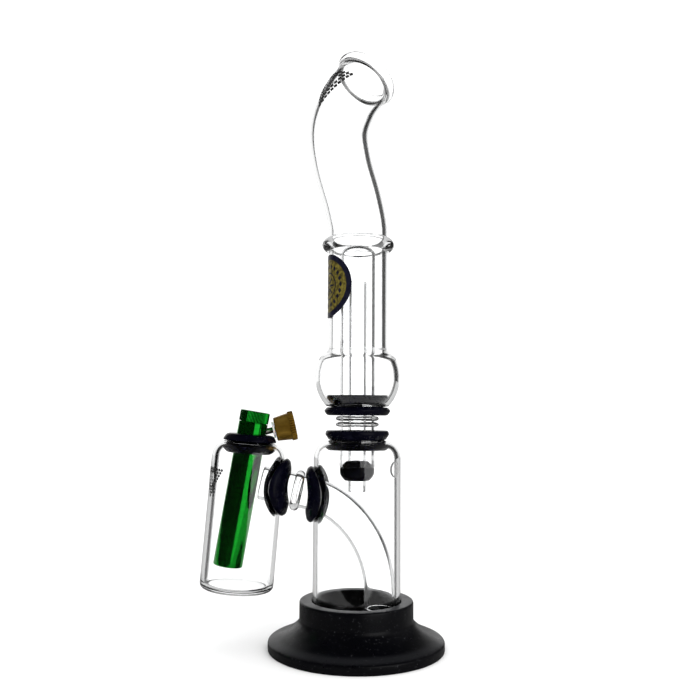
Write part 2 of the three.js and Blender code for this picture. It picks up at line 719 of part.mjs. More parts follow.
function percolatorGlass() {
  const inner = PERC_RADIUS - WALL;
  const innerBulb = BULB_RADIUS - WALL;
  const curve = sBendCurve();
  const end = BEND_START + curve.getLength();
  const steps = 11;
  const stations = Array.from({ length: steps }, (_, i) => BEND_START + ((end - 6 - BEND_START) * i) / (steps - 1));
  const low = THREE.MathUtils.radToDeg(Math.asin((BULB_FOOT + 0.5 - BULB_CENTRE) / BULB_RADIUS));
  const innerLow = THREE.MathUtils.radToDeg(Math.asin((BULB_FOOT + WALL - BULB_CENTRE) / innerBulb));
  const high = 27;
  const profile = [
    [NECK_HOLE, BULB_FOOT + 0.4],
    [NECK_HOLE + 0.5, BULB_FOOT],
    ...arc(0, BULB_CENTRE, BULB_RADIUS, BULB_RADIUS, low, high, 6),
    [PERC_RADIUS + 2.9, BULB_NECK - 3.4],
    [PERC_RADIUS + 0.7, BULB_NECK - 1.9],
    [PERC_RADIUS - 0.1, BULB_NECK],
    ...arc(PERC_RADIUS, PERC_RING_HEIGHT, ...PERC_RING, -90, 90, 6),
    ...stations.map((distance) => [PERC_RADIUS - 0.1, distance + 0.2]),
    ...arc(LIP_RADIUS, end, LIP_THICKNESS, LIP_THICKNESS + 0.2, -50, 230, 8),
    ...stations.reverse().map((distance) => [inner, distance + 0.2]),
    [inner, BULB_NECK - 1.5],
    [inner + 0.7, BULB_NECK - 3.6],
    [inner + 3.2, BULB_NECK - 5],
    ...arc(0, BULB_CENTRE, innerBulb, innerBulb, high - 2, innerLow, 5),
    [NECK_HOLE, BULB_FOOT + WALL - 0.3],
  ];
  const geometry = bend(turnedRing(profile, GLASS_SIDES), curve, BEND_START, BEND_PLANE);
  return meshOf("percolator_glass", solid(geometry), glass);
}

// A round label wrapped on the percolator, as a flat disc bent round its axis.
function roundLabel() {
  const rings = Array.from({ length: 6 }, (_, i) => (LABEL_RADIUS * i) / 5);
  const back = rings.map((radius) => [radius, 0]);
  const front = rings.map((radius) => [radius, LABEL_THICKNESS]).reverse();
  const geometry = turned([...back, ...front], LABEL_SIDES);
  const radius = PERC_RADIUS + LABEL_GAP;
  reshape(geometry, (point) => {
    const angle = LABEL_AZIMUTH + point.x / radius;
    const [height, out] = [point.y, radius + point.z];
    point.set(out * Math.sin(angle), -out * Math.cos(angle), LABEL_HEIGHT + height);
  });
  return meshOf("round_label", solid(geometry), paperLabel);
}

// ---------------------------------------------------------------- assembly

const pipe = new THREE.Group();
pipe.add(rubberBase());
pipe.add(mainChamber(), mainTopGrommet(), mainSideGrommet(), downstem());
pipe.add(catcherBottle(), catcherSideGrommet(), catcherTopGrommet());
pipe.add(stemTube(), stemCap(), capSeal(), coneNipple(), coneWasher(), brassCone());
pipe.add(spineTube(), spinePlug(), riserTube());
pipe.add(percolatorGlass(), percolatorGrommet(), roundLabel());

export default pipe;
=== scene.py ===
"""Looks for a modular glass water pipe: smooth glass, rubber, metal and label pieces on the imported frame.

Shapes are worked out in millimetres in the part's own frame: +X towards the mouth's side, +Y away from the
front, +Z up, with the origin under the middle of the rubber base.
"""

import math

import bmesh
import bpy
from mathutils import Matrix, Vector


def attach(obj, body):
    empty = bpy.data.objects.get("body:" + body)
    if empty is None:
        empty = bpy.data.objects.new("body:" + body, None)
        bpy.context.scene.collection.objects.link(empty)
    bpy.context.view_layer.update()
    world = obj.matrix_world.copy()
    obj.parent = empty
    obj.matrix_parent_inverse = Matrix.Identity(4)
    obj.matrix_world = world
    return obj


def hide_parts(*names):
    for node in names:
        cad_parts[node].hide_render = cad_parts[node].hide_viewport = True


MM = 0.001

# Fineness of the turned pieces
GLASS_SIDES = 128
RUBBER_SIDES = 96
TUBE_SIDES = 72
LONGEST_STEP = 4.0  # longest straight step along a turned outline
HOLE_WALL = 2  # material slot of the walls of holes cut through glass

GLASS_IOR = 1.47
PRINT_IOR = 1.5

# Driving dimensions: the part's own, but for finer ribs
GAP = 0.3
WALL = 2.2
GROOVE = WALL / 2 + GAP
BASE_RADIUS = 51.5
BASE_RIM_HEIGHT = 5.0
COLLAR_RADIUS = 33.4
COLLAR_FOOT = 15.5
COLLAR_TOP = 27.6
SOCKET_FLOOR = 14.0
CHAMBER_RADIUS = 25.8
CHAMBER_BOTTOM = SOCKET_FLOOR + GAP
CHAMBER_SHOULDER = 109.5
CHAMBER_TOP = 120.5
NECK_HOLE = 16.0
CARB_RADIUS = 4.5
CARB_HEIGHT = 104.2
CARB_AZIMUTH = math.radians(60.6)
PORT_HOLE = 13.3
CHAMBER_PORT_HEIGHT = 88.6
CATCHER_RADIUS = 21.5
CATCHER_LEAN = math.radians(4.4)
CATCHER_FOOT = Vector((-70.6, 0, 33.5))
CATCHER_SHOULDER = 76.0
CATCHER_TOP = 86.0
CATCHER_NECK_HOLE = 12.8
CATCHER_PORT_HEIGHT = 61.1
DOWNSTEM_RADIUS = 9.8
DOWNSTEM_BORE = 8.3
DOWNSTEM_TAPER = 0.8
DOWNSTEM_BEAD = 12.0
DOWNSTEM_INLET_X = -57.0
DOWNSTEM_BEAD_X = -35.3
DOWNSTEM_BEND_X = -29.5
DOWNSTEM_TIP = Vector((13.8, 0, 22.5))
STEM_RADIUS = 8.7
STEM_BORE = 7.2
STEM_LEAN = math.radians(9.5)
STEM_BELOW = 72.0
STEM_ABOVE = 12.6
SPIGOT_RADIUS = 7.7
CAP_HEIGHT = 6.6
CAP_RIBS = 60
CONE_RISE = math.radians(13)
CONE_TURN = math.radians(7)
CONE_ROOT = 5.2
NIPPLE_RADIUS = 2.0
NIPPLE_BORE = 1.2
CONE_START = 14.6
CONE_LENGTH = 12.0
CONE_NARROW = 7.0
CONE_WIDE = 8.1
CONE_RIM = 8.8
CONE_RIBS = 36
SPINE_RADIUS = 10.5
SPINE_BORE = 9.1
SPINE_FOOT = 104.6
SPINE_TOP = 238.3
DOME_HEIGHT = 6.5
SPINE_BEADS = (129.9, 133.4)
SLIT_HEIGHT = 176.0
SLIT_WIDTH = 1.6
SLIT_LENGTH = 9.0
RISER_RADIUS = 5.4
RISER_BORE = 4.0
RISER_FOOT = 90.2
RISER_TOP = 215.5
PLUG_TOP = 108.2
PLUG_FOOT = 96.8
BULB_CENTRE = 158.2
BULB_RADIUS = 25.5
BULB_NECK = 175.2
BULB_FOOT = 140.3
PERC_RADIUS = 17.7
PERC_RING_HEIGHT = 238.2
BEND_START = 243.0
BEND_PLANE = math.radians(28)
LIP_RADIUS = 17.1
LIP_THICKNESS = 2.8
LABEL_RADIUS = 19.1
LABEL_HEIGHT = 212.1
LABEL_AZIMUTH = math.radians(-73.3)
LABEL_THICKNESS = 0.4
LABEL_GAP = 0.2
MOUTH_MARK_AZIMUTH = math.radians(-50)
CATCHER_MARK_AZIMUTH = math.radians(-60)

# The photographed view, in metres, degrees and millimetres of lens
CAMERA_PLACE = (-0.0046, -0.474, 0.1363)
CAMERA_PITCH = 4.6
CAMERA_ROLL = 0.33
CAMERA_LENS = 40.63

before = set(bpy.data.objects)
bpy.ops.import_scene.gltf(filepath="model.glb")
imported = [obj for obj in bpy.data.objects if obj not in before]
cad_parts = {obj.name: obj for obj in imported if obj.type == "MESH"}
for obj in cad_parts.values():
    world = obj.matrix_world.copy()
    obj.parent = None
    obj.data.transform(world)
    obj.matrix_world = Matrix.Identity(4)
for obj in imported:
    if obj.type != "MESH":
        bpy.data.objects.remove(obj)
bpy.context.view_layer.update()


# ---------------------------------------------------------------- profiles


def arc(radius, height, across, up, start, stop, steps):
    """Points on an ellipse about (radius, height), between two angles in degrees above the horizontal."""
    points = []
    for i in range(steps + 1):
        angle = math.radians(start + (stop - start) * i / steps)
        points.append((radius + across * math.cos(angle), height + up * math.sin(angle)))
    return points


def rounded(corners, steps=6):
    """A closed profile from (radius, height, rounding) corners, each rounding drawn as a small curve."""
    profile = []
    for i, (radius, height, rounding) in enumerate(corners):
        here = Vector((radius, height))
        before = Vector(corners[i - 1][:2]) - here
        after = Vector(corners[(i + 1) % len(corners)][:2]) - here
        reach = min(rounding, before.length * 0.48, after.length * 0.48)
        if reach < 1e-4:
            profile.append((radius, height))
            continue
        first = here + before.normalized() * reach
        last = here + after.normalized() * reach
        for j in range(steps + 1):
            t = j / steps
            point = first * (1 - t) ** 2 + here * 2 * t * (1 - t) + last * t * t
            profile.append((point.x, point.y))
    return profile


def divided(profile, longest=LONGEST_STEP):
    """The same closed profile with its long straight runs cut into shorter steps."""
    points = []
    for i, (radius, height) in enumerate(profile):
        next_radius, next_height = profile[(i + 1) % len(profile)]
        run = math.hypot(next_radius - radius, next_height - height)
        cuts = max(1, math.ceil(run / longest))
        for j in range(cuts):
            t = j / cuts
            points.append((radius + (next_radius - radius) * t, height + (next_height - height) * t))
    return points


# ---------------------------------------------------------------- meshes


def face_loops(profile_rows, sides):
    """The faces between neighbouring rows of a turned piece. A row on the axis is one vertex."""
    faces = []
    for lower, upper in zip(profile_rows, profile_rows[1:] + profile_rows[:1]):
        for i in range(sides):
            j = (i + 1) % sides
            corners = (
                lower[i % len(lower)],
                lower[j % len(lower)],
                upper[j % len(upper)],
                upper[i % len(upper)],
            )
            face = tuple(dict.fromkeys(corners))
            if len(face) > 2:
                faces.append(face)
    return faces


def turned(name, profile, sides=GLASS_SIDES, ripple=None):
    """Turns a closed profile about the Z axis. Faces that look at the axis get the second material slot.

    ripple(radius, side) may change the radius from side to side, as on a ribbed rim.
    """
    vertices = []
    rows = []
    for radius, height in profile:
        on_axis = radius < 1e-6
        row = []
        for i in range(1 if on_axis else sides):
            angle = 2 * math.pi * i / sides
            reach = ripple(radius, i) if ripple else radius
            row.append(len(vertices))
            vertices.append((reach * math.cos(angle), reach * math.sin(angle), height))
        rows.append(row)
    mesh = bpy.data.meshes.new(name)
    mesh.from_pydata(vertices, [], face_loops(rows, sides))
    shell = bmesh.new()
    shell.from_mesh(mesh)
    bmesh.ops.recalc_face_normals(shell, faces=shell.faces)
    for face in shell.faces:
        centre = face.calc_center_median()
        outwards = face.normal.x * centre.x + face.normal.y * centre.y
        looks_in = outwards < -0.02 * math.hypot(centre.x, centre.y)
        face.material_index = 1 if looks_in else 0
    shell.to_mesh(mesh)
    shell.free()
    piece = bpy.data.objects.new(name, mesh)
    bpy.context.scene.collection.objects.link(piece)
    return piece


def reshaped(piece, move):
    """Moves every vertex of a piece, still in millimetres, with a function of its position."""
    for vertex in piece.data.vertices:
        vertex.co = move(vertex.co.copy())
    return piece


def placed(piece, origin, direction):
    """Moves a piece made about the Z axis to a point, with its axis along a direction."""
    turn = Vector((0, 0, 1)).rotation_difference(direction).to_matrix().to_4x4()
    piece.data.transform(Matrix.Translation(origin) @ turn)
    return piece


def bar(start, stop, radius, sides=TUBE_SIDES):
    """A round cutter from one point to another."""
    run = stop - start
    piece = turned("cutter", [(0, 0), (radius, 0), (radius, run.length), (0, run.length)], sides)
    for polygon in piece.data.polygons:
        polygon.material_index = HOLE_WALL
    return placed(piece, start, run.normalized())


def cut(piece, *cutters):
    """Takes the cutters' solids out of a piece and removes the cutters."""
    for cutter in cutters:
        modifier = piece.modifiers.new("cut", "BOOLEAN")
        modifier.operation = "DIFFERENCE"
        modifier.solver = "EXACT"
        modifier.object = cutter
    evaluated = piece.evaluated_get(bpy.context.evaluated_depsgraph_get())
    mesh = bpy.data.meshes.new_from_object(evaluated)
    piece.modifiers.clear()
    piece.data = mesh
    for cutter in cutters:
        bpy.data.objects.remove(cutter)
    return piece


def finished(piece, materials, body, slot, *nodes, sharp=35):
    """Brings a piece to metres, gives it its shading, materials and body, and hides the CAD nodes it stands
    for. Its record slot is not used.
    """
    piece.data.transform(Matrix.Scale(MM, 4))
    last_slot = len(materials) - 1
    slots = [min(polygon.material_index, last_slot) for polygon in piece.data.polygons]
    piece.data.materials.clear()
    for look in materials:
        piece.data.materials.append(look)
    for polygon, material_slot in zip(piece.data.polygons, slots):
        polygon.use_smooth = True
        polygon.material_index = material_slot
    piece.data.set_sharp_from_angle(angle=math.radians(sharp))
    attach(piece, body)
    if nodes:
        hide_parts(*nodes)
    return piece


# ---------------------------------------------------------------- curves


class Path:
    """A line through many points, measured along its length."""

    def __init__(self, points):
        self.points = points
        self.marks = [0.0]
        for before, after in zip(points, points[1:]):
            self.marks.append(self.marks[-1] + (after - before).length)
        self.length = self.marks[-1]

    def at(self, distance):
        """The point and the direction at a distance from the start."""
        last = len(self.points) - 2
        i = 0
        while i < last and self.marks[i + 1] < distance:
            i += 1
        step = self.marks[i + 1] - self.marks[i]
        t = (distance - self.marks[i]) / step
        before = self.points[max(i - 1, 0)]
        here, there = self.points[i], self.points[i + 1]
        after = self.points[min(i + 2, last + 1)]
        start_direction = (there - before).normalized()
        stop_direction = (after - here).normalized()
        return here.lerp(there, t), start_direction.lerp(stop_direction, t).normalized()


def bent(path, start, plane=0.0):
    """A function that bends a piece made about the Z axis, point by point.

    Above start, height becomes distance along the path, which lies in an upright plane.
    """
    across = Vector((math.cos(plane), math.sin(plane), 0))
    aside = Vector((-math.sin(plane), math.cos(plane), 0))

    def move(point):
        if point.z < start:
            return point
        distance = point.z - start
        here, direction = path.at(min(distance, path.length))
        side = aside.cross(direction).normalized()
        beyond = max(distance - path.length, 0)
        return here + direction * beyond + side * point.dot(across) + aside * point.dot(aside)

    return move


def bezier(start, start_pull, stop_pull, stop, steps):
    """Points of a cubic curve, without its first one."""
    points = []
    for i in range(1, steps + 1):
        t = i / steps
        s = 1 - t
        points.append(start * s**3 + start_pull * 3 * s * s * t + stop_pull * 3 * s * t * t + stop * t**3)
    return points


def through(points, steps):
    """A centripetal Catmull-Rom curve through points."""
    padded = [points[0] * 2 - points[1], *points, points[-1] * 2 - points[-2]]
    curve = [points[0]]
    for i in range(len(points) - 1):
        p0, p1, p2, p3 = padded[i : i + 4]
        d0, d1, d2 = (math.sqrt((b - a).length) for a, b in ((p0, p1), (p1, p2), (p2, p3)))
        m1 = ((p1 - p0) / d0 - (p2 - p0) / (d0 + d1) + (p2 - p1) / d1) * d1
        m2 = ((p2 - p1) / d1 - (p3 - p1) / (d1 + d2) + (p3 - p2) / d2) * d1
        for j in range(1, steps + 1):
            t = j / steps
            point = p1 * (2 * t**3 - 3 * t * t + 1) + m1 * (t**3 - 2 * t * t + t)
            curve.append(point + p2 * (3 * t * t - 2 * t**3) + m2 * (t**3 - t * t))
    return curve


# ---------------------------------------------------------------- places and directions


def leaning(angle):
    """An upward direction that leans towards +X."""
    return Vector((math.sin(angle), 0, math.cos(angle)))


catcher_axis = leaning(CATCHER_LEAN)
catcher_side = Vector((math.cos(CATCHER_LEAN), 0, -math.sin(CATCHER_LEAN)))


def in_catcher(across, height):
    """A point of the pre-cooler's own frame in the whole object's frame."""
    return CATCHER_FOOT + catcher_side * across + catcher_axis * height


chamber_port = Vector((WALL / 2 - CHAMBER_RADIUS, 0, CHAMBER_PORT_HEIGHT))
catcher_port = in_catcher(CATCHER_RADIUS - WALL / 2, CATCHER_PORT_HEIGHT)
arm_axis = (chamber_port - catcher_port).normalized()
stem_neck = in_catcher(0, CATCHER_TOP - WALL / 2)
stem_axis = leaning(STEM_LEAN)
cone_root = stem_neck + stem_axis * CONE_ROOT
cone_axis = Vector(
    (
        math.cos(CONE_RISE) * math.cos(CONE_TURN),
        math.cos(CONE_RISE) * math.sin(CONE_TURN),
        math.sin(CONE_RISE),
    )
)


def on_arm(x):
    """The point of the side arm's axis at a given X."""
    return chamber_port + arm_axis * ((x - chamber_port.x) / arm_axis.x)


# ---------------------------------------------------------------- material helpers


class Nodes:
    """A new material or world whose nodes are made with short calls."""

    def __init__(self, owner):
        self.tree = owner.node_tree
        self.tree.nodes.clear()

    def add(self, kind, **settings):
        node = self.tree.nodes.new(kind)
        for name, value in settings.items():
            setattr(node, name, value)
        return node

    def link(self, source, target):
        self.tree.links.new(source, target)

    def ramp(self, factor, stops):
        """A colour ramp with (position, grey or colour) stops, fed by a factor."""
        node = self.add("ShaderNodeValToRGB")
        elements = node.color_ramp.elements
        while len(elements) < len(stops):
            elements.new(0.5)
        for element, (position, colour) in zip(elements, stops):
            element.position = position
            shade = (colour,) * 3 if isinstance(colour, (int, float)) else colour
            element.color = (*shade, 1)
        self.link(factor, node.inputs["Fac"])
        return node.outputs["Color"]

    def noise(self, size_mm, detail=3.0, stretch=(1, 1, 1)):
        """Noise in object space whose features are about size_mm across."""
        place = self.add("ShaderNodeTexCoord")
        scaled = self.add("ShaderNodeMapping")
        scaled.inputs["Scale"].default_value = stretch
        texture = self.add("ShaderNodeTexNoise")
        texture.inputs["Scale"].default_value = 1 / (size_mm * MM)
        texture.inputs["Detail"].default_value = detail
        self.link(place.outputs["Object"], scaled.inputs["Vector"])
        self.link(scaled.outputs["Vector"], texture.inputs["Vector"])
        return texture.outputs["Fac"]

    def surface_normal(self):
        """The direction in which the surface faces in the world, split into X, Y and Z."""
        surface = self.add("ShaderNodeNewGeometry")
        split = self.add("ShaderNodeSeparateXYZ")
        self.link(surface.outputs["Normal"], split.inputs["Vector"])
        return split

    def math(self, operation, first, second=None, third=None):
        """A maths node on sockets or plain numbers."""
        node = self.add("ShaderNodeMath", operation=operation)
        for value, socket in zip((first, second, third), node.inputs):
            if value is None:
                continue
            if isinstance(value, (int, float)):
                socket.default_value = value
            else:
                self.link(value, socket)
        return node.outputs[0]

    def vary(self, shader, socket, factor, stops):
        """Drives a shader's socket by a ramp of a factor."""
        self.link(self.ramp(factor, stops), shader.inputs[socket])

    def bump(self, height, depth_mm, shader):
        """Dents a shader's surface by a height between 0 and 1 times depth_mm."""
        node = self.add("ShaderNodeBump")
        node.inputs["Strength"].default_value = 1.0
        node.inputs["Distance"].default_value = depth_mm * MM
        self.link(height, node.inputs["Height"])
        self.link(node.outputs["Normal"], shader.inputs["Normal"])


def material(name, **sockets):
    """A new Principled material: its Nodes and its shader, with constants set on the shader's sockets."""
    made = bpy.data.materials.new(name)
    made.use_nodes = True
    nodes = Nodes(made)
    shader = nodes.add("ShaderNodeBsdfPrincipled")
    output = nodes.add("ShaderNodeOutputMaterial")
    nodes.link(shader.outputs["BSDF"], output.inputs["Surface"])
    for socket, value in sockets.items():
        shader.inputs[socket.replace("_", " ")].default_value = value
    return made, nodes, shader


# ---------------------------------------------------------------- materials


def drawn_waves(nodes, shader):
    """The faint long waves of drawn glass tube."""
    nodes.bump(nodes.noise(14, 1.0, (1, 1, 0.3)), 0.012, shader)


def outer_glass():
    """Clear borosilicate glass."""
    made, nodes, shader = material("glass_outer", Roughness=0.0, IOR=GLASS_IOR, Transmission_Weight=1.0)
    tints = [(0.3, (0.985, 0.993, 0.995)), (0.7, (0.995, 0.998, 1.0))]
    nodes.vary(shader, "Base Color", nodes.noise(30), tints)
    drawn_waves(nodes, shader)
    return made


def inner_glass(name, painted_shade_side):
    """The glass seen from a hollow. Where it is met edge on, its colour is darkened towards black: painted
    shade for the dark edges of the walls.

    painted_shade_side above 0 puts more of this painted shade on the wall towards +X, and below 0 on the
    one towards -X.
    """
    made, nodes, shader = material(name, Roughness=0.0, IOR=GLASS_IOR, Transmission_Weight=1.0)
    angle = nodes.add("ShaderNodeLayerWeight")
    angle.inputs["Blend"].default_value = 0.5
    sideways = nodes.surface_normal().outputs["X"]
    # painted shade: the colour goes to black where the wall is met edge on, with more of it on one side (+X
    # or -X)
    painted_edge_shade = nodes.math("MULTIPLY_ADD", sideways, -painted_shade_side, angle.outputs["Facing"])
    nodes.vary(shader, "Base Color", painted_edge_shade, [(0.66, 1.0), (0.75, 0.1), (0.82, 0.0)])
    drawn_waves(nodes, shader)
    return made


def ground_glass():
    """The frosted wall of a hole ground through glass."""
    made, nodes, shader = material("glass_ground", IOR=GLASS_IOR)
    nodes.vary(shader, "Roughness", nodes.noise(1.5, 4), [(0.3, 0.5), (0.7, 0.7)])
    nodes.vary(shader, "Base Color", nodes.noise(1.0, 5), [(0.3, 0.5), (0.7, 0.62)])
    return made


def grommet_rubber():
    """Smooth black moulded rubber with faint mottling and a soft sheen."""
    made, nodes, shader = material("grommet_rubber", Specular_IOR_Level=0.08)
    mottle = nodes.noise(6, 5)
    blacks = [(0.35, (0.0008, 0.0008, 0.003)), (0.7, (0.0015, 0.0015, 0.006))]
    nodes.vary(shader, "Base Color", mottle, blacks)
    nodes.vary(shader, "Roughness", mottle, [(0.3, 0.2), (0.75, 0.34)])
    nodes.bump(nodes.noise(0.9, 4), 0.03, shader)
    return made


def base_rubber():
    """Matte black rubber with a fine grain, specks of dust and a painted paler sheen on its upward-facing
    faces.
    """
    made, nodes, shader = material("base_rubber", Specular_IOR_Level=0.16)
    specks = nodes.ramp(nodes.noise(1.1, 2), [(0.66, 0.0), (0.72, 1.0)])
    # painted highlight: faces looking upward get a paler colour; the specks are real dust
    painted_top_sheen = nodes.ramp(nodes.surface_normal().outputs["Z"], [(0.9, 0.0), (0.98, 1.0)])
    dust_and_painted_sheen = nodes.math("MAXIMUM", specks, painted_top_sheen)
    nodes.vary(shader, "Base Color", dust_and_painted_sheen, [(0.0, (0.001, 0.001, 0.002)), (1.0, (0.03, 0.031, 0.034))])
    nodes.vary(shader, "Roughness", nodes.noise(9, 4), [(0.3, 0.26), (0.7, 0.38)])
    nodes.bump(nodes.noise(0.6, 5), 0.04, shader)
    return made


def green_metal():
    """Polished aluminium anodised dark emerald, with fine turning marks."""
    made, nodes, shader = material("green_metal", Metallic=0.975)
    marks = nodes.noise(5, 6, (0.2, 0.2, 9))
    nodes.vary(shader, "Base Color", marks, [(0.3, (0.004, 0.21, 0.012)), (0.7, (0.008, 0.3, 0.022))])
    nodes.vary(shader, "Roughness", marks, [(0.3, 0.06), (0.7, 0.11)])
    nodes.bump(marks, 0.002, shader)
    return made


def brass_metal():
    """Turned brass, browner and duller in blotches."""
    made, nodes, shader = material("brass_metal", Metallic=0.85)
    patina = nodes.noise(9, 2)
    browns = [(0.3, (0.2, 0.1, 0.01)), (0.5, (0.34, 0.19, 0.022)), (0.75, (0.52, 0.32, 0.055))]
    nodes.vary(shader, "Base Color", patina, browns)
    nodes.vary(shader, "Roughness", patina, [(0.3, 0.42), (0.7, 0.3)])
    nodes.bump(nodes.noise(0.5, 4), 0.003, shader)
    return made


def nickel_metal():
    """Nickel plate with a little wear."""
    made, nodes, shader = material("nickel_metal", Metallic=1.0)
    wear = nodes.noise(2, 5)
    nodes.vary(shader, "Base Color", wear, [(0.3, (0.62, 0.6, 0.56)), (0.7, (0.8, 0.79, 0.76))])
    nodes.vary(shader, "Roughness", wear, [(0.3, 0.32), (0.7, 0.18)])
    return made


def pale_silicone():
    """Milky silicone, a little translucent."""
    made, nodes, shader = material("pale_silicone", Subsurface_Weight=0.3, Subsurface_Scale=0.001)
    cloud = nodes.noise(2, 3)
    nodes.vary(shader, "Base Color", cloud, [(0.3, (0.8, 0.78, 0.72)), (0.7, (0.88, 0.87, 0.83))])
    nodes.vary(shader, "Roughness", cloud, [(0.3, 0.45), (0.7, 0.6)])
    return made


def black_print():
    """Fired black ceramic print, a little uneven."""
    made, nodes, shader = material("black_print", IOR=PRINT_IOR)
    ink = nodes.noise(1.2, 4)
    nodes.vary(shader, "Base Color", ink, [(0.4, 0.004), (0.75, 0.05)])
    nodes.vary(shader, "Roughness", ink, [(0.3, 0.35), (0.7, 0.6)])
    return made


def label_gold():
    """Metallic olive-gold print with a crackled grain."""
    made, nodes, shader = material("label_gold", Metallic=0.35)
    grain = nodes.noise(1.6, 6)
    golds = [(0.35, (0.06, 0.045, 0.004)), (0.6, (0.2, 0.16, 0.02)), (0.8, (0.3, 0.25, 0.05))]
    nodes.vary(shader, "Base Color", grain, golds)
    nodes.vary(shader, "Roughness", grain, [(0.3, 0.5), (0.7, 0.35)])
    return made


def label_navy():
    """Dark blue print."""
    made, nodes, shader = material("label_navy", IOR=PRINT_IOR)
    grain = nodes.noise(2, 4)
    nodes.vary(shader, "Base Color", grain, [(0.3, (0.0015, 0.0015, 0.012)), (0.7, (0.004, 0.004, 0.028))])
    nodes.vary(shader, "Roughness", grain, [(0.3, 0.35), (0.7, 0.5)])
    return made


clear = outer_glass()
ground = ground_glass()
# the inner glass carries painted shade on its edge-on walls, heavier towards +X here and towards -X in the
# pre-cooler
glass = [clear, inner_glass("painted_shade_glass_inner", 0.08), ground]
bottle_glass = [clear, inner_glass("painted_shade_glass_catcher", -0.18), ground]
rubber = [grommet_rubber()]
green = [green_metal()]


# ---------------------------------------------------------------- rubber pieces


def make_base():
    profile = rounded(
        [
            (0, 0, 0),
            (BASE_RADIUS, 0, 0.8),
            (BASE_RADIUS, BASE_RIM_HEIGHT, 1.0),
            (BASE_RADIUS - 7.5, 8.1, 4),
            (BASE_RADIUS - 13, 11.2, 4),
            (COLLAR_RADIUS + 1.0, COLLAR_FOOT - 0.7, 3.2),
            (COLLAR_RADIUS, COLLAR_FOOT + 1, 1.5),
            (COLLAR_RADIUS, COLLAR_TOP, 1.4),
            (CHAMBER_RADIUS + GAP, COLLAR_TOP, 1.4),
            (CHAMBER_RADIUS + GAP, SOCKET_FLOOR, 0.5),
            (0, SOCKET_FLOOR, 0),
        ]
    )
    piece = turned("base", divided(profile), RUBBER_SIDES * 2)
    finished(piece, [base_rubber()], "base", "base_rubber", "rubber_base")


def neck_grommet(name, height, upper, lower):
    """A grommet in a round neck that grips the spine tube. Its flanges are (radius, thickness)."""
    bore = SPINE_RADIUS + 0.35
    hub = NECK_HOLE - 0.4
    upper_radius, upper_thickness = upper
    lower_radius, lower_thickness = lower
    profile = rounded(
        [
            (bore, -GROOVE - lower_thickness, 0.5),
            (lower_radius - 1.8, -GROOVE - lower_thickness, 1.4),
            (lower_radius, -GROOVE - lower_thickness * 0.4, 0.7),
            (lower_radius - 1.7, -GROOVE, 0.8),
            (hub, -GROOVE, 0.3),
            (hub, GROOVE, 0.3),
            (upper_radius - 2.2, GROOVE, 0.8),
            (upper_radius, GROOVE + upper_thickness * 0.6, 0.7),
            (upper_radius - 0.6, GROOVE + upper_thickness, 1.0),
            (bore, GROOVE + upper_thickness, 0.5),
        ]
    )
    piece = turned(name, divided(profile), RUBBER_SIDES)
    piece.data.transform(Matrix.Translation((0, 0, height)))
    return piece


def make_neck_grommets():
    height = CHAMBER_TOP - WALL / 2
    chamber_one = neck_grommet("neck_grommet_chamber", height, upper=(19.1, 5.5), lower=(18.9, 3.3))
    finished(chamber_one, rubber, "chamber", "black_rubber", "main_top_grommet")
    height = BULB_FOOT + WALL / 2
    perc_one = neck_grommet("neck_grommet_percolator", height, upper=(18.6, 4.6), lower=(19.9, 4.8))
    flange_foot = height + GROOVE
    room_at_foot = 16.7
    room_growth = 0.75

    def clear_of_bulb(point):
        """Draws the upper flange in where the bulb's inside is narrower than it."""
        radius = math.hypot(point.x, point.y)
        room = room_at_foot + (point.z - flange_foot) * room_growth
        if point.z < flange_foot - 0.01 or radius <= room:
            return point
        return Vector((point.x * room / radius, point.y * room / radius, point.z))

    reshaped(perc_one, clear_of_bulb)
    finished(perc_one, rubber, "percolator", "black_rubber", "percolator_grommet")


def make_catcher_neck_grommet():
    top = GROOVE + 4.2
    foot = -GROOVE - 4.4
    hub = CATCHER_NECK_HOLE - 0.4
    profile = rounded(
        [
            (0, foot, 0),
            (13.0, foot, 2.5),
            (15.6, foot + 2.8, 1.4),
            (14.8, -GROOVE, 0.5),
            (hub, -GROOVE, 0.3),
            (hub, GROOVE, 0.3),
            (15.3, GROOVE, 0.3),
            (15.9, GROOVE + 0.6, 0.4),
            (13.9, top, 2.6),
            (0, top, 0),
        ]
    )
    piece = placed(turned("neck_grommet_catcher", divided(profile), RUBBER_SIDES), stem_neck, catcher_axis)
    reach = stem_axis * 12
    cut(piece, bar(stem_neck - reach, stem_neck + reach, STEM_RADIUS + GAP))
    finished(piece, rubber, "neck_grommet", "black_rubber", "catcher_top_grommet")


def downstem_path():
    """The downstem's middle line: straight along the arm, round a quarter bend and straight down."""
    inlet = on_arm(DOWNSTEM_INLET_X)
    bend_start = on_arm(DOWNSTEM_BEND_X)
    up = Vector((0, 0, 1))
    bend_stop = DOWNSTEM_TIP + up * 8
    straight = [inlet.lerp(bend_start, i / 8) for i in range(9)]
    curve = bezier(bend_start, bend_start + arm_axis * 24, bend_stop + up * 30, bend_stop, 60)
    return Path([*straight, *curve, DOWNSTEM_TIP])


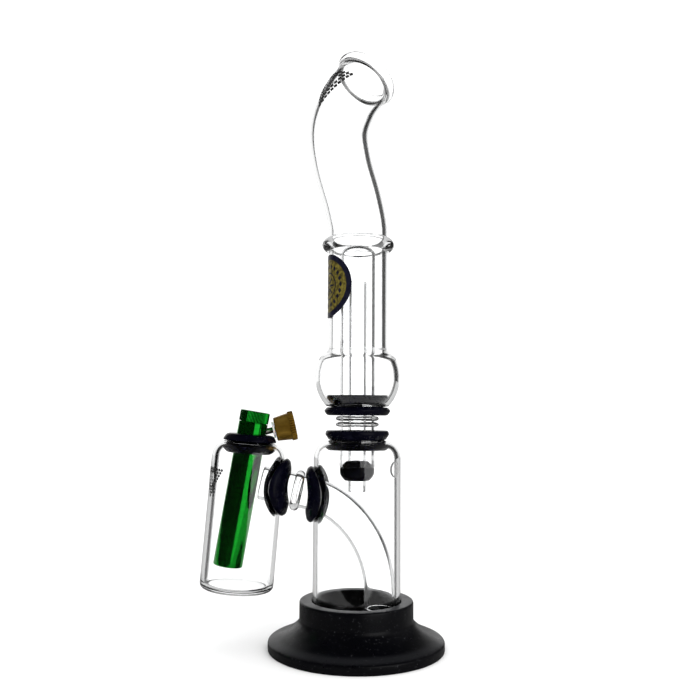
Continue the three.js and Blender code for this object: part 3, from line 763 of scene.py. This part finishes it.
def side_grommet(name, node, body, wall_radius, outer_radius, inner_radius, port, outward):
    """A grommet in a round wall's hole: made flat, wrapped round the wall and bored for the downstem."""
    hub = PORT_HOLE - 0.3
    profile = rounded(
        [
            (0, -5.4, 0),
            (11.2, -5.4, 2),
            (inner_radius - 1.4, -3.9, 2.6),
            (inner_radius, -2.1, 0.9),
            (inner_radius - 0.7, -GROOVE, 0.4),
            (hub, -GROOVE, 0.3),
            (hub, GROOVE, 0.3),
            (outer_radius - 0.6, GROOVE, 0.4),
            (outer_radius, 2.8, 1.2),
            (outer_radius - 1.4, 4.9, 2.2),
            (11.2, 5.8, 2),
            (0, 5.8, 0),
        ]
    )
    piece = turned(name, divided(profile, 1.6), RUBBER_SIDES)

    def wrapped(point):
        angle = point.y / wall_radius
        radius = wall_radius + point.z
        return Vector((point.x, radius * math.sin(angle), radius * math.cos(angle) - wall_radius))

    reshaped(piece, wrapped)
    across = Vector((0, 1, 0))
    lengthways = across.cross(outward)
    turn = Matrix((lengthways, across, outward)).transposed().to_4x4()
    piece.data.transform(Matrix.Translation(port) @ turn)
    bore_radius = DOWNSTEM_RADIUS + 0.35
    bore_length = 56
    outline = [(0, 0), (bore_radius, 0), (bore_radius, bore_length), (0, bore_length)]
    bore = turned("bore", divided(outline), TUBE_SIDES)
    reshaped(bore, bent(downstem_path(), 0))
    cut(piece, bore)
    finished(piece, rubber, body, "black_rubber", node)


def make_side_grommets():
    side_grommet(
        "side_grommet_chamber",
        "main_side_grommet",
        "chamber",
        wall_radius=CHAMBER_RADIUS - WALL / 2,
        outer_radius=16.6,
        inner_radius=17.4,
        port=chamber_port,
        outward=Vector((-1, 0, 0)),
    )
    side_grommet(
        "side_grommet_catcher",
        "catcher_side_grommet",
        "pre_cooler",
        wall_radius=CATCHER_RADIUS - WALL / 2,
        outer_radius=17,
        inner_radius=17.8,
        port=catcher_port,
        outward=catcher_side,
    )


def make_plug():
    inside = SPINE_BORE - GAP
    hole = RISER_RADIUS + GAP
    seat = SPINE_FOOT - GAP
    profile = rounded(
        [
            (hole, PLUG_FOOT, 0.3),
            (7.4, PLUG_FOOT, 2.2),
            (10.2, PLUG_FOOT + 3.4, 3.2),
            (10.3, seat, 0.4),
            (inside, seat, 0.2),
            (inside, PLUG_TOP - 1.6, 1.6),
            (inside - 2.2, PLUG_TOP, 1.4),
            (hole, PLUG_TOP, 0.3),
        ]
    )
    finished(turned("spine_stopper", profile, RUBBER_SIDES), rubber, "spine", "black_rubber", "spine_plug")


# ---------------------------------------------------------------- glass pieces


def make_chamber():
    inner = CHAMBER_RADIUS - WALL
    floor = CHAMBER_BOTTOM + WALL
    rise = CHAMBER_TOP - CHAMBER_SHOULDER
    middle = NECK_HOLE + 0.5
    reach = CHAMBER_RADIUS - middle
    corner = 3.6
    profile = [
        (0, CHAMBER_BOTTOM),
        *arc(CHAMBER_RADIUS - corner, CHAMBER_BOTTOM + corner, corner, corner, -90, 0, 10),
        *arc(middle, CHAMBER_SHOULDER, reach, rise, 0, 90, 24),
        (NECK_HOLE, CHAMBER_TOP - 0.5),
        (NECK_HOLE, CHAMBER_TOP - WALL + 0.5),
        *arc(middle, CHAMBER_SHOULDER, reach - WALL, rise - WALL, 90, 0, 24),
        *arc(inner - 3, floor + 3, 3, 3, 0, -90, 8),
        (0, floor),
    ]
    piece = turned("chamber_glass", divided(profile))
    port = bar(
        Vector((-CHAMBER_RADIUS / 2, 0, CHAMBER_PORT_HEIGHT)),
        Vector((-CHAMBER_RADIUS - 5, 0, CHAMBER_PORT_HEIGHT)),
        PORT_HOLE,
    )
    outwards = Vector((math.sin(CARB_AZIMUTH), -math.cos(CARB_AZIMUTH), 0))
    up = Vector((0, 0, CARB_HEIGHT))
    inside_wall = outwards * CHAMBER_RADIUS * 0.7 + up
    outside_wall = outwards * CHAMBER_RADIUS * 1.2 + up
    carb = bar(inside_wall, outside_wall, CARB_RADIUS, sides=48)
    cut(piece, port, carb)
    finished(piece, glass, "chamber", "clear_glass", "main_chamber")


def make_downstem():
    path = downstem_path()
    length = path.length
    bead = (on_arm(DOWNSTEM_BEAD_X) - on_arm(DOWNSTEM_INLET_X)).length
    bend_start = (on_arm(DOWNSTEM_BEND_X) - on_arm(DOWNSTEM_INLET_X)).length
    tip = DOWNSTEM_RADIUS - DOWNSTEM_TAPER
    tip_bore = DOWNSTEM_BORE - DOWNSTEM_TAPER
    profile = [
        *arc((DOWNSTEM_RADIUS + DOWNSTEM_BORE) / 2, 0.9, 0.85, 0.9, -180, 0, 10),
        *arc(DOWNSTEM_RADIUS, bead, DOWNSTEM_BEAD - DOWNSTEM_RADIUS, 2.6, -90, 90, 16),
        (DOWNSTEM_RADIUS, bend_start),
        *arc((tip + tip_bore) / 2, length - 0.8, 0.75, 0.8, 0, 180, 10),
        (DOWNSTEM_BORE, bend_start),
    ]
    piece = turned("downstem_glass", divided(profile, 1.5), TUBE_SIDES)
    reshaped(piece, bent(path, 0))
    finished(piece, glass, "chamber", "clear_glass", "curved_downstem")


def make_catcher():
    inner = CATCHER_RADIUS - WALL
    middle = CATCHER_NECK_HOLE + 1.2
    rise = CATCHER_TOP - CATCHER_SHOULDER
    reach = CATCHER_RADIUS - middle
    profile = [
        (0, 0),
        *arc(CATCHER_RADIUS - 3, 3, 3, 3, -90, 0, 10),
        *arc(middle, CATCHER_SHOULDER, reach, rise, 0, 90, 24),
        (CATCHER_NECK_HOLE, CATCHER_TOP - 0.6),
        (CATCHER_NECK_HOLE, CATCHER_TOP - WALL + 0.6),
        *arc(middle, CATCHER_SHOULDER, reach - WALL, rise - WALL, 90, 0, 24),
        *arc(inner - 2.8, WALL + 2.8, 2.8, 2.8, 0, -90, 8),
        (0, WALL),
    ]
    piece = placed(turned("catcher_glass", divided(profile)), CATCHER_FOOT, catcher_axis)
    port = bar(
        in_catcher(CATCHER_RADIUS / 2, CATCHER_PORT_HEIGHT),
        in_catcher(30, CATCHER_PORT_HEIGHT),
        PORT_HOLE,
    )
    cut(piece, port)
    finished(piece, bottle_glass, "pre_cooler", "clear_glass", "catcher_bottle")


def make_spine():
    shoulder = SPINE_TOP - DOME_HEIGHT
    beads = [point for height in SPINE_BEADS for point in arc(SPINE_RADIUS, height, 2.4, 1.4, -90, 90, 16)]
    profile = [
        *arc((SPINE_RADIUS + SPINE_BORE) / 2, SPINE_FOOT + 0.6, 0.7, 0.6, -180, 0, 10),
        *beads,
        *arc(0, shoulder, SPINE_RADIUS, DOME_HEIGHT, 0, 90, 20),
        *arc(0, shoulder, SPINE_BORE, DOME_HEIGHT - 1.4, 90, 0, 20),
    ]
    piece = turned("spine_glass", divided(profile), TUBE_SIDES)
    half = Vector((SPINE_RADIUS * 1.5, SLIT_WIDTH / 2, SLIT_LENGTH / 2))
    slit = bpy.data.meshes.new("slit")
    box = bmesh.new()
    place = Matrix.Translation((0, 0, SLIT_HEIGHT)) @ Matrix.Diagonal((*half, 1))
    bmesh.ops.create_cube(box, size=2, matrix=place)
    box.to_mesh(slit)
    box.free()
    cutter = bpy.data.objects.new("slit", slit)
    bpy.context.scene.collection.objects.link(cutter)
    cut(piece, cutter)
    finished(piece, glass, "spine", "clear_glass", "spine_tube")


def make_riser():
    middle = (RISER_RADIUS + RISER_BORE) / 2
    profile = [
        *arc(middle, RISER_FOOT + 0.7, 0.7, 0.7, -180, 0, 10),
        *arc(middle, RISER_TOP - 0.7, 0.7, 0.7, 0, 180, 10),
    ]
    piece = turned("riser_glass", divided(profile), TUBE_SIDES)
    finished(piece, glass, "spine", "clear_glass", "riser_tube")


def s_bend_path():
    """The middle line of the S, in its upright plane: (across, height)."""
    points = [
        (0, BEND_START),
        (-0.2, 249),
        (-4, 265),
        (-11.2, 287),
        (-13.7, 306),
        (-8, 324),
        (0.2, 337),
        (4.8, 343.4),
    ]
    across = Vector((math.cos(BEND_PLANE), math.sin(BEND_PLANE), 0))
    return Path(through([across * u + Vector((0, 0, v)) for u, v in points], 16))


def make_percolator():
    inner = PERC_RADIUS - WALL
    inner_bulb = BULB_RADIUS - WALL
    path = s_bend_path()
    stop = BEND_START + path.length
    low = math.degrees(math.asin((BULB_FOOT + 0.5 - BULB_CENTRE) / BULB_RADIUS))
    inner_low = math.degrees(math.asin((BULB_FOOT + WALL - BULB_CENTRE) / inner_bulb))
    outer_shoulder = bezier(
        Vector(arc(0, BULB_CENTRE, BULB_RADIUS, BULB_RADIUS, 27, 27, 1)[0]),
        Vector((PERC_RADIUS + 3.2, BULB_NECK - 3.0)),
        Vector((PERC_RADIUS, BULB_NECK - 2.4)),
        Vector((PERC_RADIUS - 0.1, BULB_NECK)),
        12,
    )
    inner_shoulder = bezier(
        Vector((inner, BULB_NECK - 1.2)),
        Vector((inner, BULB_NECK - 3.6)),
        Vector((inner + 3.2, BULB_NECK - 4.4)),
        Vector(arc(0, BULB_CENTRE, inner_bulb, inner_bulb, 25, 25, 1)[0]),
        12,
    )
    profile = [
        (NECK_HOLE, BULB_FOOT + 0.5),
        (NECK_HOLE + 0.5, BULB_FOOT),
        *arc(0, BULB_CENTRE, BULB_RADIUS, BULB_RADIUS, low, 27, 30),
        *[tuple(point) for point in outer_shoulder],
        *arc(PERC_RADIUS, PERC_RING_HEIGHT, 4.1, 4, -90, 90, 18),
        (PERC_RADIUS - 0.1, stop - 6),
        *arc(LIP_RADIUS, stop, LIP_THICKNESS, LIP_THICKNESS + 0.2, -50, 230, 28),
        (inner, stop - 6),
        (inner, BULB_NECK - 1.2),
        *[tuple(point) for point in inner_shoulder],
        *arc(0, BULB_CENTRE, inner_bulb, inner_bulb, 25, inner_low, 30)[1:],
        (NECK_HOLE, BULB_FOOT + WALL - 0.3),
    ]
    piece = turned("percolator_glass_s_bend", divided(profile, 3))
    reshaped(piece, bent(path, BEND_START, BEND_PLANE))
    finished(piece, glass, "percolator", "clear_glass", "percolator_glass", sharp=60)


# ---------------------------------------------------------------- metal pieces


def make_stem():
    profile = rounded(
        [
            (STEM_BORE, -STEM_BELOW, 0.2),
            (STEM_RADIUS, -STEM_BELOW, 0.6),
            (STEM_RADIUS, STEM_ABOVE, 0.3),
            (SPIGOT_RADIUS, STEM_ABOVE, 0.1),
            (SPIGOT_RADIUS, STEM_ABOVE + 4, 0.3),
            (STEM_BORE, STEM_ABOVE + 4, 0.1),
        ]
    )
    piece = placed(turned("stem_metal", divided(profile), TUBE_SIDES), stem_neck, stem_axis)
    inside_wall = cone_root + cone_axis * 4
    outside_wall = cone_root + cone_axis * (STEM_RADIUS + 4)
    cut(piece, bar(inside_wall, outside_wall, NIPPLE_RADIUS + GAP, sides=32))
    finished(piece, green, "stem", "green_anodised", "stem_tube")


def ribs(count, start, depth):
    """The sides of a ribbed piece, and the ripple that draws its rim in between the ribs."""
    steps = 6

    def ripple(radius, side):
        if radius < start:
            return radius
        return radius - depth * (0.5 - 0.5 * math.cos(2 * math.pi * side / steps)) ** 2

    return count * steps, ripple


def make_cap():
    floor = STEM_ABOVE + GAP
    inside = SPIGOT_RADIUS + GAP
    pocket = inside + 0.35
    profile = rounded(
        [
            (pocket, floor, 0.05),
            (STEM_RADIUS + 0.1, floor, 0.2),
            (STEM_RADIUS + 0.1, floor + CAP_HEIGHT - 0.4, 0.3),
            (STEM_RADIUS - 0.5, floor + CAP_HEIGHT, 0.4),
            (0, floor + CAP_HEIGHT, 0),
            (0, floor + 4.6, 0),
            (inside, floor + 4.6, 0.1),
            (inside, floor + 1.4, 0.1),
            (pocket, floor + 1.4, 0.1),
        ]
    )
    sides, ripple = ribs(CAP_RIBS, STEM_RADIUS - 0.05, 0.28)
    piece = placed(turned("stem_cap_knurled", profile, sides, ripple), stem_neck, stem_axis)
    finished(piece, green, "cap", "green_anodised", "stem_cap", sharp=50)


def make_cap_seal():
    ring = arc(SPIGOT_RADIUS + 0.31, STEM_ABOVE + GAP + 0.62, 0.24, 0.5, 0, 345, 23)
    piece = placed(turned("cap_seal_ring", ring, TUBE_SIDES), stem_neck, stem_axis)
    finished(piece, rubber, "stem", "black_rubber", "cap_seal")


def make_nipple():
    """A threaded nipple: its outside is a row of fine rings between the stem and the cone."""
    start, stop = 6.0, CONE_START + 4.5
    pitch = 0.7
    threads = []
    for i in range(int((stop - start) / pitch)):
        height = start + pitch * i
        threads += [(NIPPLE_RADIUS, height + 0.2), (NIPPLE_RADIUS - 0.25, height + pitch / 2 + 0.1)]
    profile = [(NIPPLE_BORE, start), (NIPPLE_RADIUS - 0.2, start), *threads, (NIPPLE_BORE, stop)]
    piece = placed(turned("nipple_threaded", profile, sides=36), cone_root, cone_axis)
    finished(piece, [nickel_metal()], "stem", "nickel_plate", "cone_nipple", sharp=60)


def make_washer():
    inside = NIPPLE_RADIUS + GAP
    outside = CONE_NARROW - 2.1
    top = CONE_START - GAP
    foot = top - 1.2
    profile = rounded([(inside, foot, 0.2), (outside, foot, 0.5), (outside, top, 0.5), (inside, top, 0.2)])
    piece = placed(turned("washer_silicone", profile, sides=48), cone_root, cone_axis)
    finished(piece, [pale_silicone()], "stem", "pale_silicone", "cone_washer")


def make_cone():
    stop = CONE_START + CONE_LENGTH
    rim = stop - 3.2
    hole = NIPPLE_RADIUS + GAP
    profile = rounded(
        [
            (hole, CONE_START, 0.2),
            (CONE_NARROW, CONE_START, 0.5),
            (CONE_WIDE, rim, 0.1),
            (CONE_RIM, rim + 0.1, 0.2),
            (CONE_RIM, stop, 0.5),
            (CONE_RIM - 1.9, stop, 0.4),
            (CONE_NARROW - 1, CONE_START + 6.2, 2),
            (hole, CONE_START + 4.4, 0.5),
        ]
    )
    sides, ripple = ribs(CONE_RIBS, CONE_RIM - 0.45, 0.75)
    piece = placed(turned("cone_brass", profile, sides, ripple), cone_root, cone_axis)
    finished(piece, [brass_metal()], "cone", "brass", "brass_cone", sharp=50)


# ---------------------------------------------------------------- label and marks


def on_percolator(u, v, out):
    """A point of the label: u mm round the tube, v mm up from the label's middle, out mm from the tube."""
    azimuth = LABEL_AZIMUTH + u / (PERC_RADIUS + LABEL_GAP)
    reach = PERC_RADIUS + LABEL_GAP + out
    return Vector((reach * math.sin(azimuth), -reach * math.cos(azimuth), LABEL_HEIGHT + v))


def faced_outwards(piece):
    """Turns every face of a closed piece outwards."""
    shell = bmesh.new()
    shell.from_mesh(piece.data)
    bmesh.ops.recalc_face_normals(shell, faces=shell.faces)
    for face in shell.faces:
        face.material_index = 0
    shell.to_mesh(piece.data)
    shell.free()
    return piece


def ring_print(name, inner, outer, low, high, where):
    """A flat ring or disc between two radii, raised from low to high above a curved surface."""
    radii = [inner + (outer - inner) * i / 8 for i in range(9)]
    back = [(radius, low) for radius in radii]
    front = [(radius, high) for radius in reversed(radii)]
    piece = turned(name, [*back, *front], TUBE_SIDES)
    return faced_outwards(reshaped(piece, lambda point: where(point.x, point.y, point.z)))


def tile_print(name, tiles, low, high, where):
    """Small flat tiles, each a list of (u, v) corners, raised from low to high above a curved surface."""
    vertices = []
    faces = []
    for tile in tiles:
        start = len(vertices)
        count = len(tile)
        vertices += [where(u, v, low) for u, v in tile] + [where(u, v, high) for u, v in tile]
        faces.append(tuple(range(start, start + count)))
        faces.append(tuple(range(start + count, start + 2 * count)))
        for i in range(count):
            j = (i + 1) % count
            faces.append((start + i, start + j, start + count + j, start + count + i))
    mesh = bpy.data.meshes.new(name)
    mesh.from_pydata(vertices, [], faces)
    piece = bpy.data.objects.new(name, mesh)
    bpy.context.scene.collection.objects.link(piece)
    return faced_outwards(piece)


def diamond(u, v, half_width, half_height):
    """A four-cornered tile."""
    return [(u - half_width, v), (u, v - half_height), (u + half_width, v), (u, v + half_height)]


def ray(angle, start, stop, width):
    """A straight bar of a sunburst, as a run of short tiles."""
    along = Vector((math.cos(angle), math.sin(angle)))
    aside = Vector((-along.y, along.x)) * width / 2
    steps = 4
    tiles = []
    for i in range(steps):
        near = along * (start + (stop - start) * i / steps)
        far = along * (start + (stop - start) * (i + 1) / steps)
        tiles.append([tuple(near - aside), tuple(far - aside), tuple(far + aside), tuple(near + aside)])
    return tiles


def make_label():
    """A gold disc with a navy border, a thin ring, a circle of diamonds and a sunburst."""
    face = LABEL_THICKNESS - 0.1
    disc_radius = LABEL_RADIUS - 3.2
    diamond_circle = 12
    diamonds = 20
    rays = 8
    tiles = []
    for i in range(diamonds):
        angle = 2 * math.pi * i / diamonds
        tiles.append(diamond(diamond_circle * math.cos(angle), diamond_circle * math.sin(angle), 1.1, 1.5))
    for i in range(rays):
        tiles += ray(2 * math.pi * i / rays, 1.6, 6.2, 1.0)
    disc = ring_print("label_disc", 0, disc_radius, 0.0, face, on_percolator)
    finished(disc, [label_gold()], "percolator", "printed_label", "round_label")
    navy = label_navy()
    for piece in (
        ring_print("label_border", disc_radius, LABEL_RADIUS, 0.0, LABEL_THICKNESS, on_percolator),
        ring_print("label_ring", 7.6, 8.3, face, LABEL_THICKNESS, on_percolator),
        tile_print("label_print", tiles, face, LABEL_THICKNESS, on_percolator),
    ):
        finished(piece, [navy], "percolator", "printed_label", "round_label")


def triangle_tiles(rows, pitch):
    """Diamonds that fill a triangle point down, with the middle ones left out."""
    tiles = []
    for row in range(rows):
        count = row + 1
        for i in range(count):
            in_middle = 3 < row < rows - 2 and 2 <= i < count - 2
            if not in_middle:
                tiles.append(diamond((i - row / 2) * pitch, row * pitch * 0.8, pitch * 0.52, pitch * 0.5))
    return tiles


def make_marks():
    """Plain patterns of black diamonds, fired on the mouthpiece and on the pre-cooler."""
    ink = black_print()
    path = s_bend_path()
    move = bent(path, BEND_START, BEND_PLANE)
    mouth_mark_foot = BEND_START + path.length - 34
    catcher_mark_foot = 54

    def on_mouthpiece(u, v, out):
        azimuth = MOUTH_MARK_AZIMUTH + u / PERC_RADIUS
        reach = PERC_RADIUS - 0.1 + out
        return move(Vector((reach * math.sin(azimuth), -reach * math.cos(azimuth), mouth_mark_foot + v)))

    mouth_mark = tile_print("mouthpiece_mark", triangle_tiles(10, 2.7), 0.12, 0.2, on_mouthpiece)
    finished(mouth_mark, [ink], "percolator", "printed_label")

    def on_catcher(u, v, out):
        azimuth = CATCHER_MARK_AZIMUTH + u / CATCHER_RADIUS
        reach = CATCHER_RADIUS + out
        across = catcher_side * reach * math.sin(azimuth) - Vector((0, reach * math.cos(azimuth), 0))
        return CATCHER_FOOT + catcher_axis * (catcher_mark_foot + v) + across

    catcher_mark = tile_print("pre_cooler_mark", triangle_tiles(10, 2.1), 0.03, 0.1, on_catcher)
    finished(catcher_mark, [ink], "pre_cooler", "printed_label")


# ---------------------------------------------------------------- the build

make_base()
make_neck_grommets()
make_catcher_neck_grommet()
make_side_grommets()
make_plug()
make_chamber()
make_downstem()
make_catcher()
make_spine()
make_riser()
make_percolator()
make_stem()
make_cap()
make_cap_seal()
make_nipple()
make_washer()
make_cone()
make_label()
make_marks()


# ---------------------------------------------------------------- stage


def make_floor():
    """A large pale floor. It stops short in front, so that upright surfaces mirror the dark studio."""
    side, near, far = 3.0, -0.15, 5.0
    corners = [(-side, near, 0), (side, near, 0), (side, far, 0), (-side, far, 0)]
    mesh = bpy.data.meshes.new("floor")
    mesh.from_pydata(corners, [], [(0, 1, 2, 3)])
    floor = bpy.data.objects.new("floor", mesh)
    bpy.context.scene.collection.objects.link(floor)
    made, nodes, shader = material("pale_floor", Roughness=0.8, Specular_IOR_Level=0.0)
    nodes.vary(shader, "Base Color", nodes.noise(400), [(0.3, 0.93), (0.7, 0.95)])
    floor.data.materials.append(made)


def dark_studio(nodes):
    """What mirrors see: a white sweep behind the pipe, a dim right side and dim wings high up."""
    place = nodes.add("ShaderNodeTexCoord")
    direction = nodes.add("ShaderNodeSeparateXYZ")
    nodes.link(place.outputs["Generated"], direction.inputs["Vector"])
    x, y, z = direction.outputs
    ahead = nodes.math("MULTIPLY_ADD", x, -0.165, nodes.math("MULTIPLY", y, 0.986))
    sweep = nodes.ramp(ahead, [(0.772, 0.0), (0.834, 1.0)])
    right = nodes.ramp(x, [(0.6, 0.012), (0.85, 0.2)])
    sideways = nodes.ramp(nodes.math("ABSOLUTE", x), [(0.35, 0.0), (0.8, 1.0)])
    high = nodes.ramp(z, [(0.25, 0.0), (0.6, 0.2)])
    wings = nodes.math("MULTIPLY", sideways, high)
    return nodes.math("ADD", nodes.math("ADD", sweep, wings), right)


def make_world():
    """A white backdrop for what is seen directly or through glass, and a dark studio for reflections.

    The floor seen in mirrors gets a little of the white back, and more of it inside glass.
    """
    world = bpy.data.worlds.new("studio")
    world.use_nodes = True
    world.cycles.sampling_method = "NONE"
    bpy.context.scene.world = world
    nodes = Nodes(world)
    output = nodes.add("ShaderNodeOutputWorld")
    background = nodes.add("ShaderNodeBackground")
    rays = nodes.add("ShaderNodeLightPath")
    white = nodes.math("MULTIPLY_ADD", rays.outputs["Transmission Depth"], 0.075, 1.3)
    mirrored = nodes.math("MINIMUM", rays.outputs["Glossy Depth"], 1.0)
    scattered = nodes.math("MINIMUM", rays.outputs["Diffuse Depth"], 1.0)
    in_glass = nodes.math("MINIMUM", rays.outputs["Transmission Depth"], 1.0)
    given_back = nodes.math("MULTIPLY_ADD", in_glass, -0.4, -0.05)
    floor_in_mirror = nodes.math("MULTIPLY", mirrored, scattered)
    studio_share = nodes.math("MULTIPLY_ADD", floor_in_mirror, given_back, mirrored)
    light = nodes.add("ShaderNodeMix", data_type="FLOAT")
    nodes.link(studio_share, light.inputs[0])
    nodes.link(white, light.inputs[2])
    nodes.link(dark_studio(nodes), light.inputs[3])
    nodes.link(light.outputs[0], background.inputs["Color"])
    nodes.link(background.outputs["Background"], output.inputs["Surface"])


def softbox(name, azimuth, elevation, distance, width, height, power):
    """An area light aimed at the pipe's middle. Azimuth is in degrees from the front towards +X."""
    light = bpy.data.lights.new(name, "AREA")
    light.shape = "RECTANGLE"
    light.size = width
    light.size_y = height
    light.energy = power
    lamp = bpy.data.objects.new(name, light)
    around, up = math.radians(azimuth), math.radians(elevation)
    target = Vector((0, 0, 0.16))
    away = Vector((math.sin(around) * math.cos(up), -math.cos(around) * math.cos(up), math.sin(up)))
    lamp.location = target + away * distance
    lamp.rotation_euler = away.to_track_quat("Z", "Y").to_euler()
    lamp.visible_camera = False
    bpy.context.scene.collection.objects.link(lamp)


def make_lights():
    softbox("key_softbox", azimuth=40, elevation=6, distance=1.3, width=1.0, height=1.6, power=7.3)


def make_camera():
    """The camera at the photographed angle: low, close and tipped up a little."""
    camera = bpy.data.cameras.new("camera")
    camera.sensor_width = 36
    camera.lens = CAMERA_LENS
    holder = bpy.data.objects.new("camera", camera)
    pitch = Matrix.Rotation(math.radians(90 + CAMERA_PITCH), 4, "X")
    roll = Matrix.Rotation(math.radians(CAMERA_ROLL), 4, "Z")
    holder.matrix_world = Matrix.Translation(CAMERA_PLACE) @ pitch @ roll
    bpy.context.scene.collection.objects.link(holder)
    bpy.context.scene.camera = holder


make_floor()
make_world()
make_lights()
make_camera()
scene = bpy.context.scene
scene.view_settings.view_transform = "Standard"
scene.cycles.max_bounces = 32
scene.cycles.transmission_bounces = 32
scene.cycles.glossy_bounces = 12
